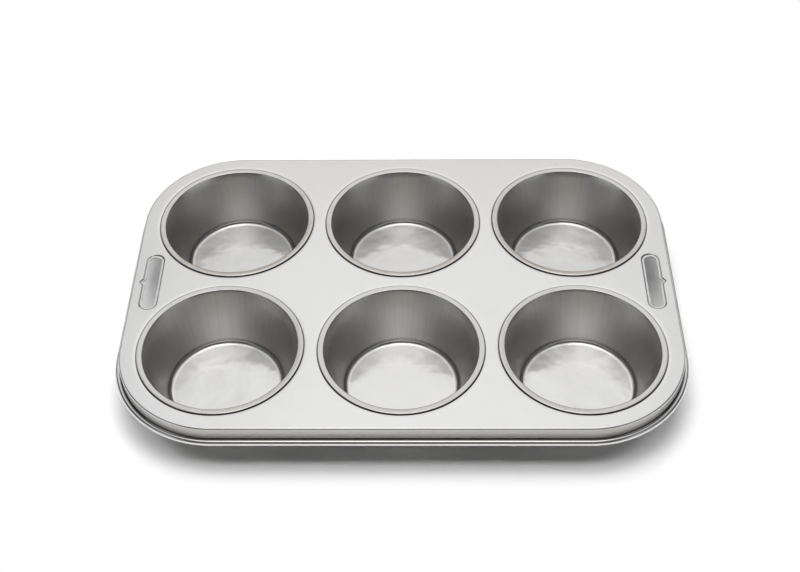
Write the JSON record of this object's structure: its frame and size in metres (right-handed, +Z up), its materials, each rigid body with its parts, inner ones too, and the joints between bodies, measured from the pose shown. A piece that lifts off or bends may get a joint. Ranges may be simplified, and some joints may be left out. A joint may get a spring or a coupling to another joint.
{
  "type": "muffin pan",
  "caption": "Muffin pan of tinned sheet steel: round tapered cups seamed into a flat deck, with a turned-down skirt rolled over a rim wire and a hanging slot at each end.",
  "frame": {"origin": "middle of the pan on the surface that the cups stand on", "axes": "+X along the long side, +Y to the back row of cups, +Z up out of the cups"},
  "size_m": [0.2576, 0.1766, 0.0282],
  "materials": {
    "deck_tinplate": "satin tinned sheet",
    "cup_tinplate": "satin tinned sheet with faint draw lines up the wall",
    "rim_steel": "plain drawn wire"
  },
  "bodies": {
    "root": {"deck": "deck_tinplate", "rim_wire": "rim_steel", "cup_row1_col1": "cup_tinplate", "cup_row1_col2": "cup_tinplate", "cup_row1_col3": "cup_tinplate", "cup_row2_col1": "cup_tinplate", "cup_row2_col2": "cup_tinplate", "cup_row2_col3": "cup_tinplate"}
  },
  "joints": []
}
